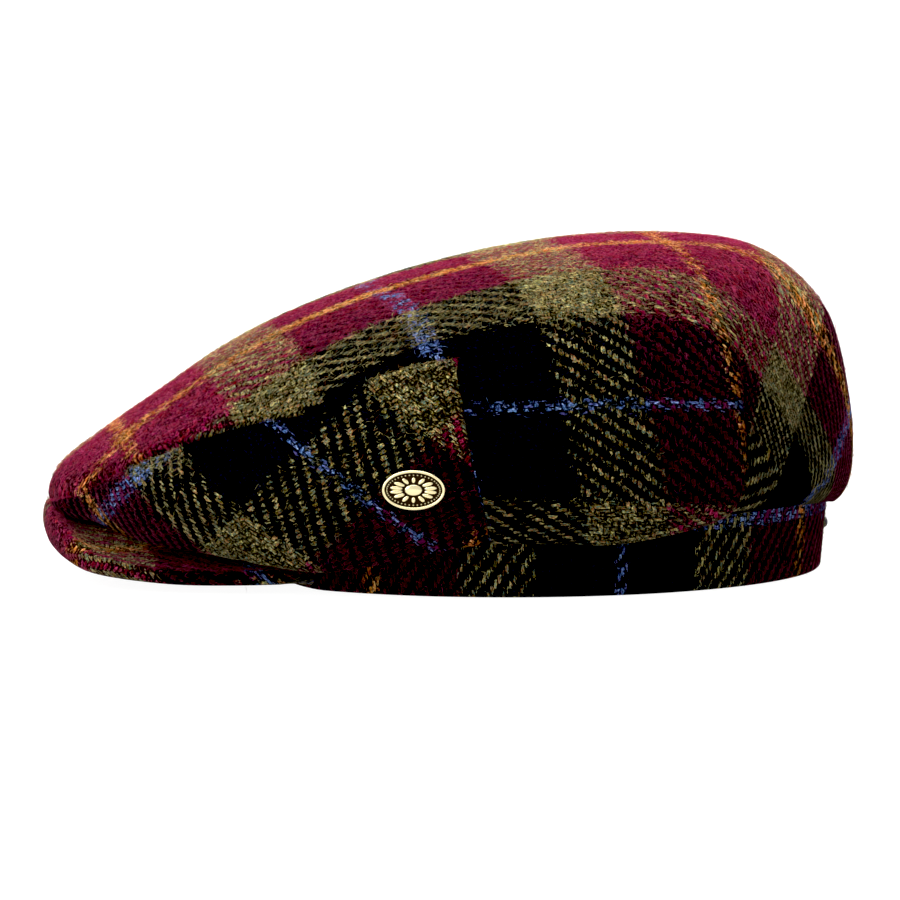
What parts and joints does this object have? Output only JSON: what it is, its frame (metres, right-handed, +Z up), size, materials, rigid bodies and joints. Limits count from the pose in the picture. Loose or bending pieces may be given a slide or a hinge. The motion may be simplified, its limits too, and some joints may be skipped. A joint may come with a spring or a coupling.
{
  "type": "flat cap",
  "caption": "Flat cap of checked wool tweed with a full crown, two front side panels, a headband, a short stiff peak and an oval brass badge.",
  "frame": {"origin": "middle of the cap's bounding box, on the surface that its rim stands on", "axes": "+X to the back of the cap, with the peak along -X; -Y to the wearer's left, where the badge is; +Z up"},
  "size_m": [0.275, 0.1904, 0.1122],
  "materials": {
    "tweed_top": "fuzzy wool tweed, dark red, olive and black check",
    "tweed_side": "fuzzy wool tweed, olive and black check",
    "tweed_band": "fuzzy wool tweed, dark red and black check",
    "brass": "antiqued, polished on the raised parts",
    "nickel": "nickel plate",
    "dark_metal": "dark, satin"
  },
  "bodies": {
    "root": {"crown_top": "tweed_top", "side_panel_left": "tweed_side", "side_panel_right": "tweed_side", "headband": "tweed_band", "peak": "tweed_top", "badge": "brass", "badge_clutch": "nickel", "back_stud": "dark_metal"}
  },
  "joints": []
}
